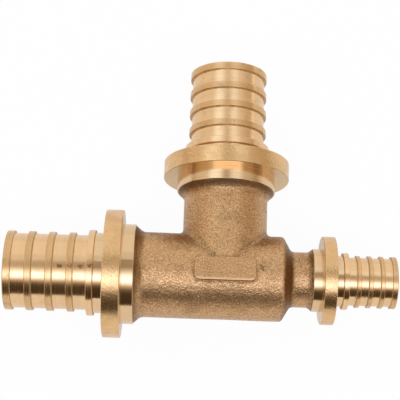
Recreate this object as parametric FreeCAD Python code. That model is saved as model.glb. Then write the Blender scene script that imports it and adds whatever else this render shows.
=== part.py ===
import FreeCAD, Part
import math
import os
from dataclasses import dataclass

# A reducing tee for cross-linked polyethylene pipe: one brass body with three barbed spigots.
# The run lies along X, with the large inlet at -X and the reduced outlet at +X.
# The branch points along +Y and carries the same spigot as the inlet. Z is up.
# The origin is the point where the two axes cross. All lengths are in millimetres.

# Spigot for 25 x 3.5 mm pipe, used on the inlet and on the branch
LARGE_RIB_DIAMETER = 21.7
LARGE_GROOVE_DEPTH = 0.65
LARGE_WALL = 1.7
LARGE_STOP_RIB_RISE = 0.9
LARGE_NECK_DIAMETER = 22.05
LARGE_FLANGE_DIAMETER = 35.0
LARGE_COLLAR_DIAMETER = 27.3
LARGE_NECK_LENGTH = 2.7
LARGE_STOP_RIB_LENGTH = 1.8
LARGE_STOP_GAP = 3.65
LARGE_RIB_LENGTH = 1.85
LARGE_GROOVE_LENGTH = 3.7
LARGE_MOUTH_RIB_LENGTH = 2.1
LARGE_FLANGE_LENGTH = 4.8

# Spigot for 16 x 2.2 mm pipe, used on the reduced outlet
SMALL_RIB_DIAMETER = 14.3
SMALL_GROOVE_DEPTH = 0.55
SMALL_WALL = 1.5
SMALL_STOP_RIB_RISE = 0.65
SMALL_NECK_DIAMETER = 13.95
SMALL_FLANGE_DIAMETER = 24.2
SMALL_COLLAR_DIAMETER = 17.2
SMALL_NECK_LENGTH = 2.25
SMALL_STOP_RIB_LENGTH = 1.45
SMALL_STOP_GAP = 2.2
SMALL_RIB_LENGTH = 1.15
SMALL_GROOVE_LENGTH = 2.05
SMALL_MOUTH_RIB_LENGTH = 1.5
SMALL_FLANGE_LENGTH = 3.5

# Both spigots: this many ribs, and past them one more at the mouth
RIB_COUNT = 3
RIB_LEAD_SLOPE = 75.0

# Distance from the crossing of the axes to the flange faces that stop the two large sleeves
INLET_FLANGE_REACH = 32.6
BRANCH_FLANGE_REACH = 32.7

# Machined collar behind each flange
INLET_COLLAR_LENGTH = 3.4
BRANCH_COLLAR_LENGTH = 3.7
OUTLET_COLLAR_LENGTH = 2.6

# Cast barrels: the branch is this step thinner than the run, and the shoulder stands this far off it
RUN_DIAMETER = 23.3
BRANCH_STEP = 0.05
SHOULDER_GAP = 4.3
SHOULDER_SLOPE = 60.0
SHOULDER_BEVEL = 0.5
REDUCED_DIAMETER = 15.2
REDUCED_LENGTH = 4.75
REDUCED_ROUNDING = 1.4
FLARE_SLOPE = 45.0
FLARE_ROUNDING = 2.2
JUNCTION_ROUNDING = 1.2

# Inside, the large bore closes to the small one in a cone that starts this far before the shoulder
BORE_CONE_SETBACK = 4.4
BORE_CONE_SLOPE = 60.0

# Plain raised pad on the upper side of the run
PAD_LENGTH = 16.6
PAD_WIDTH = 6.4
PAD_OFFSET_Y = -0.3
PAD_RISE = 0.15
PAD_CORNER_RADIUS = 1.4

# A rounding takes at most this share of the edges beside it
ROUNDING_SHARE = 0.95

ORIGIN = FreeCAD.Vector(0, 0, 0)
X_AXIS = FreeCAD.Vector(1, 0, 0)
Y_AXIS = FreeCAD.Vector(0, 1, 0)
Z_AXIS = FreeCAD.Vector(0, 0, 1)


@dataclass(frozen=True)
class Spigot:
    """Sizes of one barbed pipe end, from its flange outwards."""

    rib: float
    groove_depth: float
    wall: float
    stop_rib_rise: float
    neck: float
    flange: float
    collar: float
    neck_length: float
    stop_rib_length: float
    stop_gap: float
    rib_length: float
    groove_length: float
    mouth_rib_length: float
    flange_length: float

    def rib_radius(self):
        """Crest of the ribs that hold the pipe."""
        return self.rib / 2

    def groove_radius(self):
        """Land between the ribs."""
        return self.rib_radius() - self.groove_depth

    def stop_radius(self):
        """Crest of the larger rib that stops the pipe."""
        return self.rib_radius() + self.stop_rib_rise

    def bore_radius(self):
        """Water way, one wall under the lands."""
        return self.groove_radius() - self.wall

    def length(self):
        """Distance from the flange's outer face to the mouth."""
        ribs = RIB_COUNT * (self.rib_length + self.groove_length) + self.mouth_rib_length
        return self.neck_length + self.stop_rib_length + self.stop_gap + ribs


LARGE_SPIGOT = Spigot(
    rib=LARGE_RIB_DIAMETER,
    groove_depth=LARGE_GROOVE_DEPTH,
    wall=LARGE_WALL,
    stop_rib_rise=LARGE_STOP_RIB_RISE,
    neck=LARGE_NECK_DIAMETER,
    flange=LARGE_FLANGE_DIAMETER,
    collar=LARGE_COLLAR_DIAMETER,
    neck_length=LARGE_NECK_LENGTH,
    stop_rib_length=LARGE_STOP_RIB_LENGTH,
    stop_gap=LARGE_STOP_GAP,
    rib_length=LARGE_RIB_LENGTH,
    groove_length=LARGE_GROOVE_LENGTH,
    mouth_rib_length=LARGE_MOUTH_RIB_LENGTH,
    flange_length=LARGE_FLANGE_LENGTH,
)

SMALL_SPIGOT = Spigot(
    rib=SMALL_RIB_DIAMETER,
    groove_depth=SMALL_GROOVE_DEPTH,
    wall=SMALL_WALL,
    stop_rib_rise=SMALL_STOP_RIB_RISE,
    neck=SMALL_NECK_DIAMETER,
    flange=SMALL_FLANGE_DIAMETER,
    collar=SMALL_COLLAR_DIAMETER,
    neck_length=SMALL_NECK_LENGTH,
    stop_rib_length=SMALL_STOP_RIB_LENGTH,
    stop_gap=SMALL_STOP_GAP,
    rib_length=SMALL_RIB_LENGTH,
    groove_length=SMALL_GROOVE_LENGTH,
    mouth_rib_length=SMALL_MOUTH_RIB_LENGTH,
    flange_length=SMALL_FLANGE_LENGTH,
)


def run_radius():
    """Outside of the run's barrel."""
    return RUN_DIAMETER / 2


def branch_radius():
    """Outside of the branch's barrel."""
    return run_radius() - BRANCH_STEP


def reduced_radius():
    """Outside of the run past the shoulder."""
    return REDUCED_DIAMETER / 2


def shoulder_reach():
    """Where the run's barrel ends and the shoulder starts."""
    return branch_radius() + SHOULDER_GAP


def shoulder_end():
    """Where the shoulder meets the reduced run."""
    return shoulder_reach() + slope_run(run_radius(), reduced_radius(), SHOULDER_SLOPE)


def outlet_flange_reach():
    """Distance from the crossing to the flange face that stops the small sleeve."""
    flare = slope_run(SMALL_COLLAR_DIAMETER / 2, reduced_radius(), FLARE_SLOPE)
    return shoulder_end() + REDUCED_LENGTH + flare + OUTLET_COLLAR_LENGTH + SMALL_FLANGE_LENGTH


def slope_run(radius, other_radius, slope):
    """Length along the axis over which a slope in degrees leads from one radius to the other."""
    return abs(radius - other_radius) / math.tan(math.radians(slope))


def rounding_room(points, radii, i):
    """Setback that corner i may take of its two edges, shared with the rounding at their far ends."""
    room = []
    for j in (i - 1, (i + 1) % len(points)):
        share = radii[i] / (radii[i] + radii[j])
        room.append(points[i].distanceToPoint(points[j]) * share)
    return ROUNDING_SHARE * min(room)


def rounded_wire(corners):
    """Closed wire in the XY plane through (x, y, radius) corners, each rounded by its own radius."""
    points = [FreeCAD.Vector(x, y, 0) for x, y, _ in corners]
    radii = [radius for _, _, radius in corners]
    starts, ends, arcs = [], [], []
    for i, point in enumerate(points):
        radius = radii[i]
        back = (points[i - 1] - point).normalize()
        ahead = (points[(i + 1) % len(points)] - point).normalize()
        if radius == 0:
            starts.append(point)
            ends.append(point)
            arcs.append(None)
            continue
        half = back.getAngle(ahead) / 2
        setback = min(radius / math.tan(half), rounding_room(points, radii, i))
        radius = setback * math.tan(half)
        bisector = (back + ahead).normalize()
        middle = point + bisector * (radius / math.sin(half) - radius)
        starts.append(point + back * setback)
        ends.append(point + ahead * setback)
        arcs.append(Part.Arc(starts[-1], middle, ends[-1]).toBSpline().toShape())
    edges = []
    for i, arc in enumerate(arcs):
        if arc is not None:
            edges.append(arc)
        edges.append(Part.makeLine(ends[i], starts[(i + 1) % len(points)]))
    return Part.Wire(edges)


def turned(corners):
    """Solid turned about X from (x, radius, rounding) corners."""
    return Part.Face(rounded_wire(corners)).revolve(ORIGIN, X_AXIS, 360)


def rib_corners(start, length, crest, root):
    """One barb: square towards the flange, with a lead slope towards the mouth."""
    lead = slope_run(crest, root, RIB_LEAD_SLOPE)
    return [
        (start, root, 0),
        (start, crest, 0),
        (start + length - lead, crest, 0),
        (start + length, root, 0),
    ]


def spigot_solid(spigot, reach, collar_length):
    """Collar, flange and barbed end along +X, with the flange's outer face at reach."""
    flange = spigot.flange / 2
    groove = spigot.groove_radius()
    flange_back = reach - spigot.flange_length
    collar_back = flange_back - collar_length
    stop = reach + spigot.neck_length
    stop_end = stop + spigot.stop_rib_length
    corners = [
        (collar_back, 0, 0),
        (collar_back, spigot.collar / 2, 0),
        (flange_back, spigot.collar / 2, 0),
        (flange_back, flange, 0),
        (reach, flange, 0),
        (reach, spigot.neck / 2, 0),
        (stop, spigot.neck / 2, 0),
        (stop, spigot.stop_radius(), 0),
        (stop_end, spigot.stop_radius(), 0),
        (stop_end, groove, 0),
    ]
    place = stop_end + spigot.stop_gap
    for _ in range(RIB_COUNT):
        corners += rib_corners(place, spigot.rib_length, spigot.rib_radius(), groove)
        place += spigot.rib_length + spigot.groove_length
    corners += rib_corners(place, spigot.mouth_rib_length, spigot.rib_radius(), groove)
    corners.append((reach + spigot.length(), 0, 0))
    return turned(corners)


def run_barrel():
    """Cast run: flare at the inlet, straight barrel, shoulder, reduced neck and flare at the outlet."""
    run = run_radius()
    reduced = reduced_radius()
    large_collar = LARGE_COLLAR_DIAMETER / 2
    small_collar = SMALL_COLLAR_DIAMETER / 2
    inlet_back = INLET_FLANGE_REACH - LARGE_FLANGE_LENGTH - INLET_COLLAR_LENGTH
    outlet_back = outlet_flange_reach() - SMALL_FLANGE_LENGTH - OUTLET_COLLAR_LENGTH
    inlet_flare = inlet_back - slope_run(large_collar, run, FLARE_SLOPE)
    slope = math.radians(SHOULDER_SLOPE)
    return turned([
        (-inlet_back, 0, 0),
        (-inlet_back, large_collar, 0),
        (-inlet_flare, run, FLARE_ROUNDING),
        (shoulder_reach() - SHOULDER_BEVEL, run, 0),
        (
            shoulder_reach() + SHOULDER_BEVEL * math.cos(slope),
            run - SHOULDER_BEVEL * math.sin(slope),
            0,
        ),
        (shoulder_end(), reduced, REDUCED_ROUNDING),
        (shoulder_end() + REDUCED_LENGTH, reduced, FLARE_ROUNDING),
        (outlet_back, small_collar, 0),
        (outlet_back, 0, 0),
    ])


def branch_barrel():
    """Cast branch: straight barrel from the run's axis, with a flare below its collar."""
    branch = branch_radius()
    collar = LARGE_COLLAR_DIAMETER / 2
    collar_back = BRANCH_FLANGE_REACH - LARGE_FLANGE_LENGTH - BRANCH_COLLAR_LENGTH
    barrel = turned([
        (0, 0, 0),
        (0, branch, 0),
        (collar_back - slope_run(collar, branch, FLARE_SLOPE), branch, FLARE_ROUNDING),
        (collar_back, collar, 0),
        (collar_back, 0, 0),
    ])
    barrel.rotate(ORIGIN, Z_AXIS, 90)
    return barrel


def on_both_barrels(edge):
    """True where an edge follows the seam between run and branch."""
    for t in (0.2, 0.5, 0.8):
        first, last = edge.ParameterRange
        point = edge.valueAt(first + t * (last - first))
        on_run = abs(math.hypot(point.y, point.z) - run_radius()) < 1e-4
        on_branch = abs(math.hypot(point.x, point.z) - branch_radius()) < 1e-4
        if not (on_run and on_branch):
            return False
    return True


def cast_body():
    """Both barrels as one casting, with a rounded seam."""
    body = run_barrel().fuse(branch_barrel())
    seam = [edge for edge in body.Edges if on_both_barrels(edge)]
    return body.makeFillet(JUNCTION_ROUNDING, seam)


def plain_pad():
    """Flat-topped pad with rounded corners, from the run's axis up to just above the barrel."""
    x = PAD_LENGTH / 2
    low = PAD_OFFSET_Y - PAD_WIDTH / 2
    high = PAD_OFFSET_Y + PAD_WIDTH / 2
    outline = rounded_wire([
        (-x, low, PAD_CORNER_RADIUS),
        (x, low, PAD_CORNER_RADIUS),
        (x, high, PAD_CORNER_RADIUS),
        (-x, high, PAD_CORNER_RADIUS),
    ])
    return Part.Face(outline).extrude(Z_AXIS * (run_radius() + PAD_RISE))


def run_bore():
    """Large bore from the inlet through the crossing, closing to the small bore of the outlet."""
    inlet_mouth = INLET_FLANGE_REACH + LARGE_SPIGOT.length()
    outlet_mouth = outlet_flange_reach() + SMALL_SPIGOT.length()
    large = LARGE_SPIGOT.bore_radius()
    small = SMALL_SPIGOT.bore_radius()
    cone_start = shoulder_reach() - BORE_CONE_SETBACK
    return turned([
        (-inlet_mouth, 0, 0),
        (-inlet_mouth, large, 0),
        (cone_start, large, 0),
        (cone_start + slope_run(large, small, BORE_CONE_SLOPE), small, 0),
        (outlet_mouth, small, 0),
        (outlet_mouth, 0, 0),
    ])


def branch_bore():
    """Large bore from the run's axis out through the branch's mouth."""
    mouth = BRANCH_FLANGE_REACH + LARGE_SPIGOT.length()
    return Part.makeCylinder(LARGE_SPIGOT.bore_radius(), mouth, ORIGIN, Y_AXIS)


def tee_body():
    """The whole fitting as one solid."""
    inlet = spigot_solid(LARGE_SPIGOT, INLET_FLANGE_REACH, INLET_COLLAR_LENGTH)
    inlet.rotate(ORIGIN, Z_AXIS, 180)
    branch = spigot_solid(LARGE_SPIGOT, BRANCH_FLANGE_REACH, BRANCH_COLLAR_LENGTH)
    branch.rotate(ORIGIN, Z_AXIS, 90)
    outlet = spigot_solid(SMALL_SPIGOT, outlet_flange_reach(), OUTLET_COLLAR_LENGTH)
    body = cast_body().fuse([plain_pad(), inlet, branch, outlet])
    body = body.cut([run_bore(), branch_bore()])
    return body.removeSplitter()


def main():
    """Write the tee as one STEP file."""
    os.makedirs("parts", exist_ok=True)
    body = tee_body()
    solid = body.Solids[0]
    box = solid.BoundBox
    print(f"solids {len(body.Solids)}, valid {solid.isValid()}, volume {solid.Volume:.0f} mm3")
    print(f"size {box.XLength:.2f} x {box.YLength:.2f} x {box.ZLength:.2f} mm")
    solid.exportStep("parts/tee_body.step")


if __name__ == "__main__":
    main()
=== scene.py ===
import logging
import math
from dataclasses import dataclass, field
from enum import Enum
from typing import Callable, Optional, Sequence, Union

import bmesh
import bpy
import numpy as np
from mathutils import Matrix, Vector


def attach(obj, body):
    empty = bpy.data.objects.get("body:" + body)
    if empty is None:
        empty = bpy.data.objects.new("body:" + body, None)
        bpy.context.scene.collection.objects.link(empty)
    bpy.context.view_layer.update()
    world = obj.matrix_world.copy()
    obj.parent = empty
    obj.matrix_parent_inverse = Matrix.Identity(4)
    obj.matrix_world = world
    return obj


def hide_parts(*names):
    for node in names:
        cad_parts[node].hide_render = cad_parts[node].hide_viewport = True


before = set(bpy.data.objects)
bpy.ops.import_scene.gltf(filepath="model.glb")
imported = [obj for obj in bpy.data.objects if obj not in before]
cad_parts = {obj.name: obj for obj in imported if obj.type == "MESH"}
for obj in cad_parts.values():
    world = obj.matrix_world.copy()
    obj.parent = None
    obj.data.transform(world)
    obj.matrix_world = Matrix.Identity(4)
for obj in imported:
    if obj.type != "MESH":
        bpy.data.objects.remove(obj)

# A brass reducing tee, dressed for its portrait: a sand-cast body with three machined ends.
# Sizes are in millimetres in the turning frame, where each end is turned about +X.
# Meshes are written in metres, in the frame of the CAD part.

MM = 0.001                 # a millimetre, in metres
TURNING_SEGMENTS = 168     # faces round a turned surface
ARC_STEPS = 4              # faces across a rounding
ROUNDING_SHARE = 0.42      # most of the shorter flat beside it that a rounding may take
SUPPORT = 0.05             # strip beside a rounding that keeps its flat flat, in millimetres
SUPPORT_SHARE = 0.1        # most of the shorter flat that this strip may take
WELD = 0.002               # points closer than this are merged, in millimetres
CRISP_ANGLE = 26.0         # edges sharper than this break the light, in degrees
SHADE_LAYER = "dirt"              # painted shade at the points of the casting and its pad
GLOW = "glow"              # attribute of the cards' points
CREST_FACES = "crest"      # attribute of a rib's faces

Tone = tuple[float, float, float]
Socket = bpy.types.NodeSocket
Feed = Union[Socket, float, Tone]
Feeds = dict[Union[str, int], object]
Materials = Sequence[bpy.types.Material]

log = logging.getLogger("tee")


class Line(Enum):
    """Axis that a surface is turned about, or that a card curves about."""

    RUN = "X"
    BRANCH = "Y"


class Axis(Enum):
    """Direction in which an end leaves the crossing."""

    INLET = "-X"
    OUTLET = "+X"
    BRANCH = "+Y"

    def matrix(self) -> Matrix:
        """Turn that brings the turning frame's +X onto this direction."""
        angle = {Axis.INLET: math.pi, Axis.OUTLET: 0.0, Axis.BRANCH: math.pi / 2}[self]
        return Matrix.Rotation(angle, 4, "Z")

    def line(self) -> Line:
        """Axis that the end is turned about."""
        return Line.BRANCH if self is Axis.BRANCH else Line.RUN


class Surface(Enum):
    """Finish of one stretch of the tee; the value is its material slot."""

    CAST = 0
    COLLAR_RUN = 1
    LAND_RUN = 2
    CREST_RUN = 3
    RIM_RUN = 4
    BACK_RUN = 5
    COLLAR_BRANCH = 6
    LAND_BRANCH = 7
    CREST_BRANCH = 8
    RIM_BRANCH = 9
    BACK_BRANCH = 10
    # Steps and steep flanks, painted darker as shade.
    STEP = 11
    BORE = 12
    # Lower front bevel of the pad, painted paler as a highlight.
    RUBBED = 13


@dataclass(frozen=True)
class Corner:
    """One corner of a turned outline.

    Args:
        along: Distance along the axis, in millimetres.
        radius: Distance from the axis, in millimetres.
        rounding: Radius that breaks the corner.
        surface: Finish of the stretch from here to the next corner, or None for an open stretch.
    """

    along: float
    radius: float
    rounding: float = 0.0
    surface: Optional[Surface] = Surface.BORE


def outline(corners: Sequence[Corner], closed: bool) -> tuple[np.ndarray, list[Optional[Surface]]]:
    """Round the corners of an outline and keep the flats beside them flat.

    Args:
        corners: Corners in order.
        closed: Whether the last corner leads back to the first.

    Returns:
        Points as (along, radius) rows, and the finish of the stretch that starts at each point.
    """
    places = [np.array([c.along, c.radius]) for c in corners]
    count = len(corners)
    points: list[np.ndarray] = []
    surfaces: list[Optional[Surface]] = []
    for i, corner in enumerate(corners):
        here = places[i]
        before = corners[i - 1].surface if closed or i else corner.surface
        if corner.rounding == 0 or (not closed and i in (0, count - 1)):
            points.append(here)
            surfaces.append(corner.surface)
            continue
        back = places[i - 1] - here
        ahead = places[(i + 1) % count] - here
        reach = min(np.linalg.norm(back), np.linalg.norm(ahead))
        back /= np.linalg.norm(back)
        ahead /= np.linalg.norm(ahead)
        half = math.acos(float(np.clip(back @ ahead, -1, 1))) / 2
        setback = min(corner.rounding / math.tan(half), ROUNDING_SHARE * reach)
        radius = setback * math.tan(half)
        bisector = (back + ahead) / np.linalg.norm(back + ahead)
        centre = here + bisector * radius / math.sin(half)
        start, end = here + back * setback, here + ahead * setback
        support = min(SUPPORT, SUPPORT_SHARE * reach)
        points.append(start + back * support)
        surfaces.append(before)
        sweep = math.pi - 2 * half
        for k in range(ARC_STEPS + 1):
            share = k / ARC_STEPS
            spoke = (
                (start - centre) * math.sin((1 - share) * sweep)
                + (end - centre) * math.sin(share * sweep)
            ) / math.sin(sweep)
            points.append(centre + spoke)
            surfaces.append(corner.surface)
        points.append(end + ahead * support)
        surfaces.append(corner.surface)
    return np.array(points), surfaces


def turn(corners: Sequence[Corner], closed: bool) -> bmesh.types.BMesh:
    """Turn an outline about the X axis.

    Args:
        corners: Corners of the outline.
        closed: Whether the outline is a loop.

    Returns:
        Mesh in millimetres, with the finish of each face as its material index.
    """
    points, surfaces = outline(corners, closed)
    mesh = bmesh.new()
    angles = [2 * math.pi * s / TURNING_SEGMENTS for s in range(TURNING_SEGMENTS)]
    rings = [
        [mesh.verts.new((x, r * math.cos(a), r * math.sin(a))) for a in angles]
        for x, r in points
    ]
    last = len(points) if closed else len(points) - 1
    for i in range(last):
        if surfaces[i] is None:
            continue
        ring, following = rings[i], rings[(i + 1) % len(points)]
        for s in range(TURNING_SEGMENTS):
            t = (s + 1) % TURNING_SEGMENTS
            face = mesh.faces.new((ring[s], ring[t], following[t], following[s]))
            face.material_index = surfaces[i].value
            face.smooth = True
    loose = [v for v in mesh.verts if not v.link_faces]
    bmesh.ops.delete(mesh, geom=loose, context="VERTS")
    return mesh


def new_object(name: str, mesh: bmesh.types.BMesh, materials: Materials) -> bpy.types.Object:
    """Put a finished mesh into the scene.

    Args:
        name: Name of the object.
        mesh: Mesh to hand over; it is freed.
        materials: Materials in slot order.

    Returns:
        The new object, at the origin.
    """
    data = bpy.data.meshes.new(name)
    mesh.to_mesh(data)
    mesh.free()
    for material in materials:
        data.materials.append(material)
    made = bpy.data.objects.new(name, data)
    bpy.context.scene.collection.objects.link(made)
    return made


def keep_crisp(mesh: bmesh.types.BMesh) -> None:
    """Let light break at the corners that have no rounding of their own.

    Args:
        mesh: Mesh whose sharp edges are marked.
    """
    limit = math.radians(CRISP_ANGLE)
    for edge in mesh.edges:
        edge.smooth = edge.calc_face_angle(0.0) < limit


class Sheet:
    """Short hand for laying out and joining shader or geometry nodes."""

    def __init__(self, tree: bpy.types.NodeTree) -> None:
        """Start on an empty tree."""
        self.tree = tree
        tree.nodes.clear()

    def add(self, kind: str, label: str = "", feeds: Optional[Feeds] = None,
            **settings: object) -> bpy.types.Node:
        """Add a node.

        Args:
            kind: Blender's node type.
            label: Caption in a maker's words.
            feeds: What its inputs take, by name or number: a socket to join, or a value.
            **settings: Properties to set on the node.

        Returns:
            The new node.
        """
        node = self.tree.nodes.new(kind)
        node.label = label
        for key, value in settings.items():
            setattr(node, key, value)
        for key, value in (feeds or {}).items():
            self.fill(node.inputs[key], value)
        return node

    def fill(self, target: Socket, value: object) -> None:
        """Join a socket to an input, or write a value there.

        Args:
            target: The input.
            value: Socket to join, or value to write.
        """
        if isinstance(value, Socket):
            self.tree.links.new(value, target)
        else:
            target.default_value = value

    def math(self, operation: str, *values: Feed, label: str = "") -> Socket:
        """Add a Math node, and one more for each value past the second.

        Args:
            operation: Blender's name of the operation.
            *values: Sockets or numbers, taken in order.
            label: Caption of the nodes.

        Returns:
            The result's socket.
        """
        result = values[0]
        for second in [{1: value} for value in values[1:]] or [{}]:
            node = self.add("ShaderNodeMath", label, {0: result, **second}, operation=operation)
            result = node.outputs[0]
        return result

    def share(self, value: Socket, amount: float, label: str = "") -> Socket:
        """Take a share of a value."""
        return self.math("MULTIPLY", value, amount, label=label)

    def vector(self, operation: str, feeds: Feeds, result: str, label: str = "") -> Socket:
        """Add a Vector Math node and return its output of that name."""
        return self.add("ShaderNodeVectorMath", label, feeds, operation=operation).outputs[result]

    def split(self, vector: Socket) -> Sequence[Socket]:
        """Part a vector into X, Y and Z."""
        return self.add("ShaderNodeSeparateXYZ", feeds={0: vector}).outputs

    def combine(self, **parts: Socket) -> Socket:
        """Make a vector of X, Y and Z, where a part that is left out is 0."""
        return self.add("ShaderNodeCombineXYZ", feeds=parts).outputs[0]

    def ramp(self, value: Socket, low: Feed, high: Feed, label: str = "") -> Socket:
        """Add a smooth step.

        Args:
            value: What the step follows.
            low: Where it is 0; it may lie above high, for a step down.
            high: Where it is 1.
            label: Caption of the node.

        Returns:
            The step's socket, 0 to 1.
        """
        feeds = {"Value": value, "From Min": low, "From Max": high}
        node = self.add("ShaderNodeMapRange", label, feeds, interpolation_type="SMOOTHSTEP")
        return node.outputs["Result"]

    def noise(self, place: Socket, scale: Feed, detail: float, label: str,
              dimensions: str = "3D") -> Socket:
        """Value of a noise texture at a place, which is a plain number in one dimension."""
        feeds = {"W" if dimensions == "1D" else "Vector": place, "Scale": scale, "Detail": detail}
        return self.add("ShaderNodeTexNoise", label, feeds, noise_dimensions=dimensions).outputs[0]

    def tint(self, mask: Socket, base: Feed, over: Feed, label: str = "") -> Socket:
        """Mix two colours.

        Args:
            mask: Share of the second colour, 0 to 1.
            base: First colour.
            over: Second colour.
            label: Caption of the node.

        Returns:
            The mixed colour.
        """
        node = self.add("ShaderNodeMix", label, {"Factor": mask}, data_type="RGBA")
        for value, name in ((base, "A"), (over, "B")):
            target = next(s for s in node.inputs if s.name == name and s.type == "RGBA")
            self.fill(target, value if isinstance(value, Socket) else (*value, 1.0))
        return next(s for s in node.outputs if s.type == "RGBA")

    def close(self, shader: bpy.types.Node, kind: str = "ShaderNodeOutputMaterial") -> None:
        """Lead a shader to the tree's output."""
        self.add(kind, feeds={"Surface": shader.outputs[0]})


def node_sheet(owner: Union[bpy.types.Material, bpy.types.World]) -> Sheet:
    """Empty sheet for the nodes of a material or world."""
    owner.use_nodes = True
    return Sheet(owner.node_tree)


class Effect(Sheet):
    """Sheet of a shader node group that several finishes share."""

    def __init__(self, name: str, inputs: dict[str, Optional[float]]) -> None:
        """Start a group.

        Args:
            name: Name of the group.
            inputs: Default of each input, or None where it takes a place, in millimetres.
        """
        group = bpy.data.node_groups.new(name, "ShaderNodeTree")
        for key, value in inputs.items():
            kind = "NodeSocketVector" if value is None else "NodeSocketFloat"
            socket = group.interface.new_socket(key, in_out="INPUT", socket_type=kind)
            if value is not None:
                socket.default_value = value
        super().__init__(group)
        source = self.add("NodeGroupInput")
        self.given = [source.outputs[key] for key in inputs]

    def give(self, **results: Socket) -> bpy.types.NodeTree:
        """Close the group.

        Args:
            **results: Values that it puts out, by name.

        Returns:
            The finished group.
        """
        for key in results:
            self.tree.interface.new_socket(key, in_out="OUTPUT", socket_type="NodeSocketFloat")
        self.add("NodeGroupOutput", feeds=results)
        return self.tree


def turning_marks_group() -> bpy.types.NodeTree:
    """Group that draws the tool's fine lines, along the axis on a barrel and in rings on a face.

    Returns:
        Group with inputs Along, Across and Fineness, and outputs Height and Tone.
    """
    sheet = Effect("turning marks", {"Along": 0.0, "Across": 0.0, "Fineness": 4.0})
    *sides, fineness = sheet.given
    places = [sheet.math("MULTIPLY", side, fineness, label="lines per mm") for side in sides]
    marks = {}
    kinds = (("Height", 1.0, 3.0, "fine lines"), ("Tone", 0.17, 1.0, "broad bands"))
    for key, scale, detail, label in kinds:
        lines = [sheet.noise(place, scale, detail, label, "1D") for place in places]
        marks[key] = sheet.share(sheet.math("ADD", *lines, label="both directions"), 0.5)
    return sheet.give(**marks)


def tarnish_group() -> bpy.types.NodeTree:
    """Group that draws soft patches of tarnish with small dark specks.

    Returns:
        Group with inputs Place, Size and Cover, and outputs Patch and Speck.
    """
    sheet = Effect("tarnish", {"Place": None, "Size": 0.3, "Cover": 0.5})
    place, size, cover = sheet.given
    low = sheet.math("SUBTRACT", 0.62, sheet.share(cover, 0.3))
    patch = sheet.noise(place, size, 4.0, "patches")
    speck = sheet.noise(place, sheet.share(size, 5.0), 1.0, "specks")
    return sheet.give(
        Patch=sheet.ramp(patch, low, sheet.math("ADD", low, 0.22), "patch edge"),
        Speck=sheet.ramp(speck, 0.7, 0.78, "specks only"),
    )


def sand_grain_group() -> bpy.types.NodeTree:
    """Group that draws the grain a sand mould leaves.

    Returns:
        Group with inputs Place and Grain, and outputs Height and Pit.
    """
    sheet = Effect("sand grain", {"Place": None, "Grain": 1.6})
    place, grain = sheet.given
    sand = sheet.noise(place, grain, 3.0, "sand")
    feeds = {"Vector": place, "Scale": sheet.share(grain, 1.5)}
    cells = sheet.add("ShaderNodeTexVoronoi", "grains", feeds, feature="SMOOTH_F1")
    skin = sheet.noise(place, sheet.share(grain, 0.13), 2.0, "skin of the casting")
    bumps = sheet.share(cells.outputs["Distance"], -0.45)
    return sheet.give(
        Height=sheet.math("ADD", sand, bumps, sheet.share(skin, 1.6)),
        Pit=sheet.ramp(sand, 0.6, 0.38, "low spots"),
    )


def hatch_group() -> bpy.types.NodeTree:
    """Group that draws the crossed scratches of a brushed rim.

    Returns:
        Group with inputs Along, Around and Fineness, and outputs Height and Tone.
    """
    sheet = Effect("brushed hatch", {"Along": 0.0, "Around": 0.0, "Fineness": 2.0})
    *sides, fineness = sheet.given
    along, around = [sheet.math("MULTIPLY", side, fineness) for side in sides]
    across = sheet.math("ADD", around, along, label="across the strokes")
    down = sheet.share(sheet.math("SUBTRACT", around, along), 0.26, "down the strokes")
    strokes = sheet.noise(sheet.combine(X=across, Y=down), 1.0, 2.0, "strokes", "2D")
    rim = sheet.combine(X=along, Y=around)
    dents = sheet.noise(rim, 2.1, 1.0, "small dents", "2D")
    return sheet.give(
        Height=sheet.math("ADD", strokes, sheet.share(dents, 0.25)),
        Tone=sheet.noise(rim, 0.12, 1.0, "soft patches", "2D"),
    )


def blemish_group() -> bpy.types.NodeTree:
    """Group that draws the casting's witness line beside the pad and the rough spot at its end.

    Returns:
        Group with input Place, in millimetres, and outputs Crease and Rough.
    """
    rough_spot = (9.9, 0.6, 11.6)
    sheet = Effect("casting blemish", {"Place": None})
    place = sheet.given[0]
    x, y, z = sheet.split(place)
    top = sheet.ramp(z, 6.0, 9.0, "upper side only")
    wander = sheet.share(sheet.noise(x, 0.3, 1.0, "wander of the line", "1D"), 1.2)
    line = sheet.math("SUBTRACT", sheet.math("ADD", y, wander), 0.2, label="off the line")
    near = sheet.ramp(sheet.math("ABSOLUTE", line), 0.36, 0.0, "thin crease")
    pad_side, shoulder_side = sheet.ramp(x, 8.6, 9.2), sheet.ramp(x, 16.2, 13.2)
    distance = sheet.vector("DISTANCE", {0: place, 1: rough_spot}, "Value", "off the rough spot")
    broken = sheet.ramp(sheet.noise(place, 1.1, 3.0, "broken skin"), 0.46, 0.6)
    return sheet.give(
        Crease=sheet.math("MULTIPLY", near, pad_side, shoulder_side, top, 0.45, label="faint"),
        Rough=sheet.math("MULTIPLY", sheet.ramp(distance, 2.1, 0.6), broken),
    )


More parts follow.
